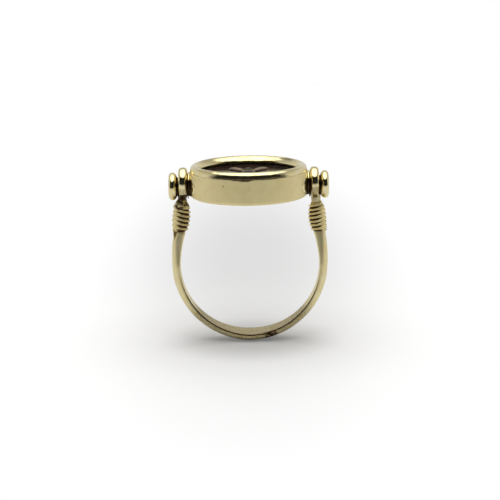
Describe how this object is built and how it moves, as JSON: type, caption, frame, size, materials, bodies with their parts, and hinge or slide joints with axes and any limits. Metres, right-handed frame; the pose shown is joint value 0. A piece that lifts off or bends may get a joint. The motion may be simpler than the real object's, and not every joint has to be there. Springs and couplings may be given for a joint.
{
  "type": "swivel finger ring",
  "caption": "Swivel finger ring: a round drum bezel with a carved dark stone turns over between pivot eyes on a hoop with wire-wrapped shoulders.",
  "frame": {"origin": "centre of the finger hole, half way along the band's width", "axes": "+X along the bezel's pivot pins towards the right end cap, +Y along the finger, +Z from the finger hole to the bezel"},
  "size_m": [0.0198, 0.0144, 0.0221],
  "materials": {
    "polished_gold": "polished",
    "satin_gold": "satin",
    "hoop_gold": "satin",
    "wire_gold": "satin",
    "dark_stone": "satin"
  },
  "bodies": {
    "shank": {"shank_hoop": "hoop_gold", "left_wire_wrap": "wire_gold", "right_wire_wrap": "wire_gold", "left_pivot_eye": "polished_gold", "right_pivot_eye": "polished_gold"},
    "bezel": {"bezel_drum": "satin_gold", "bezel_rim": "polished_gold", "back_plate": "satin_gold", "stone_seat_ring": "satin_gold", "carved_stone": "dark_stone", "left_collar": "polished_gold", "right_collar": "polished_gold", "left_pivot_pin": "polished_gold", "right_pivot_pin": "polished_gold", "left_end_cap": "polished_gold", "right_end_cap": "polished_gold"}
  },
  "joints": [
    {"name": "bezel_swivel", "type": "hinge", "parent": "shank", "child": "bezel", "pos_m": [0, 0, 0.0099], "axis": [1, 0, 0], "continuous": true}
  ]
}
